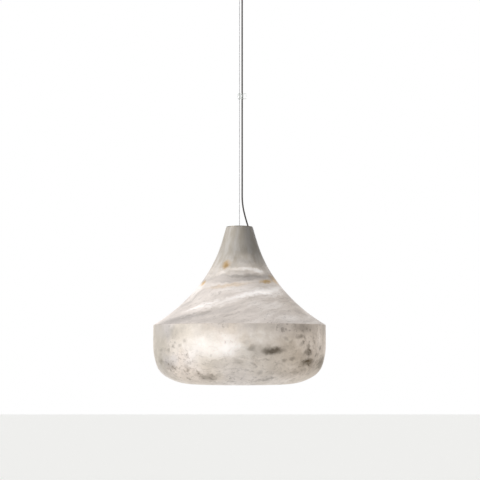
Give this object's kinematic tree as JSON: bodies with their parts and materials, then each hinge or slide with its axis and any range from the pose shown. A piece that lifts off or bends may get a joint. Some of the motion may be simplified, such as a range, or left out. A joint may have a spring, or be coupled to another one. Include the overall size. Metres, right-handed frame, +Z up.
{
  "type": "alabaster pendant lamp",
  "caption": "Alabaster pendant lamp: a funnel-necked stone shade with a rounded drum below a crease, hung on a steel wire with its power cable beside it.",
  "frame": {"origin": "middle of the ceiling plate's fixing circle, on the ceiling", "axes": "+Z up into the ceiling; the lamp hangs along -Z; the power cable hangs on the +X side of the wire; -Y faces the camera"},
  "size_m": [0.448, 0.448, 1.1474],
  "materials": {
    "alabaster": "honed, translucent, veined",
    "alabaster_drum": "honed, translucent, mottled",
    "zinc_steel": "zinc plated",
    "bright_steel": "bright",
    "wire_rope": "stranded",
    "nickel_brass": "nickel plated",
    "plain_brass": "plain",
    "aluminium_sleeve": "crimped",
    "solder": "matt",
    "bulb_metal": "rolled",
    "cap_metal": "bronze grey, satin",
    "canopy_paint": "satin white",
    "black_rubber": "matt",
    "cable_sheath": "matt, warm grey",
    "core_insulation": "smooth",
    "white_plastic": "moulded",
    "nylon": "moulded",
    "clear_plastic": "clear",
    "clear_silicone": "translucent",
    "holder_plastic": "moulded",
    "porcelain": "glazed",
    "led_ceramic": "matt, yellow emitters",
    "black_glass": "glossy",
    "opal_glass": "opal"
  },
  "bodies": {
    "ceiling": {"ceiling_plate": "zinc_steel", "supply_grommet": "black_rubber", "gripper_body": "nickel_brass", "gripper_nut": "nickel_brass", "gripper_spring": "bright_steel", "wire_tail": "wire_rope", "tail_sleeve": "aluminium_sleeve", "cable_tail": "cable_sheath", "cable_cores": "core_insulation", "terminal_block": "white_plastic", "terminal_inserts": "plain_brass", "terminal_screws": "bright_steel", "block_screw": "bright_steel"},
    "release": {"gripper_plunger": "nickel_brass", "gripper_balls": "bright_steel", "gripper_washer": "bright_steel"},
    "canopy": {"canopy_cup": "canopy_paint", "canopy_screws": "bright_steel"},
    "ring": {"exit_ring": "nickel_brass"},
    "bush": {"swivel_bush": "nylon"},
    "drop": {"suspension_wire": "wire_rope", "power_cable": "cable_sheath"},
    "clip": {"cable_clip": "clear_plastic"},
    "lamp": {"wire_stop": "aluminium_sleeve", "wire_nipple": "nickel_brass", "top_cap": "cap_metal", "cable_grommet": "black_rubber", "hickey": "zinc_steel", "lamp_lead": "cable_sheath", "stem_tube": "zinc_steel", "plate_gasket": "clear_silicone", "support_plate": "zinc_steel", "plate_nuts": "plain_brass", "upper_bell": "alabaster", "lower_drum": "alabaster_drum", "lampholder_cap": "holder_plastic", "lampholder_skirt": "holder_plastic", "lampholder_core": "porcelain", "screw_shell": "plain_brass", "centre_contact": "plain_brass"},
    "bulb": {"bulb_contact": "solder", "bulb_insulator": "black_glass", "bulb_cap": "bulb_metal", "bulb_globe": "opal_glass", "bulb_led_column": "led_ceramic"}
  },
  "joints": [
    {"name": "gripper_release", "type": "slide", "parent": "ceiling", "child": "release", "axis": [0, 0, 1], "range_m": [0, 0.0015], "stiffness_N_per_m": 1500, "deforming": ["gripper_spring"]},
    {"name": "canopy_drop", "type": "slide", "parent": "ceiling", "child": "canopy", "axis": [0, 0, -1], "range_m": [0, 0.13]},
    {"name": "lamp_turn", "type": "hinge", "parent": "ceiling", "child": "ring", "pos_m": [0, 0, -0.044], "axis": [0, 0, 1], "range_deg": [-60, 60], "deforming": ["cable_tail", "power_cable"]},
    {"name": "swing_x", "type": "hinge", "parent": "ring", "child": "bush", "pos_m": [0, 0, -0.044], "axis": [1, 0, 0], "range_deg": [-12, 12], "deforming": ["cable_tail", "wire_tail", "power_cable", "suspension_wire"]},
    {"name": "swing_y", "type": "hinge", "parent": "bush", "child": "drop", "pos_m": [0, 0, -0.044], "axis": [0, 1, 0], "range_deg": [-12, 12], "deforming": ["cable_tail", "wire_tail", "power_cable", "suspension_wire"]},
    {"name": "clip_slide", "type": "slide", "parent": "drop", "child": "clip", "axis": [0, 0, 1], "range_m": [-0.25, 0.17]},
    {"name": "height_adjust", "type": "slide", "parent": "drop", "child": "lamp", "axis": [0, 0, 1], "range_m": [0, 0.25], "deforming": ["suspension_wire", "power_cable"]},
    {"name": "bulb_unscrew", "type": "slide", "parent": "lamp", "child": "bulb", "axis": [0, 0, -1], "range_m": [0, 0.03]}
  ]
}
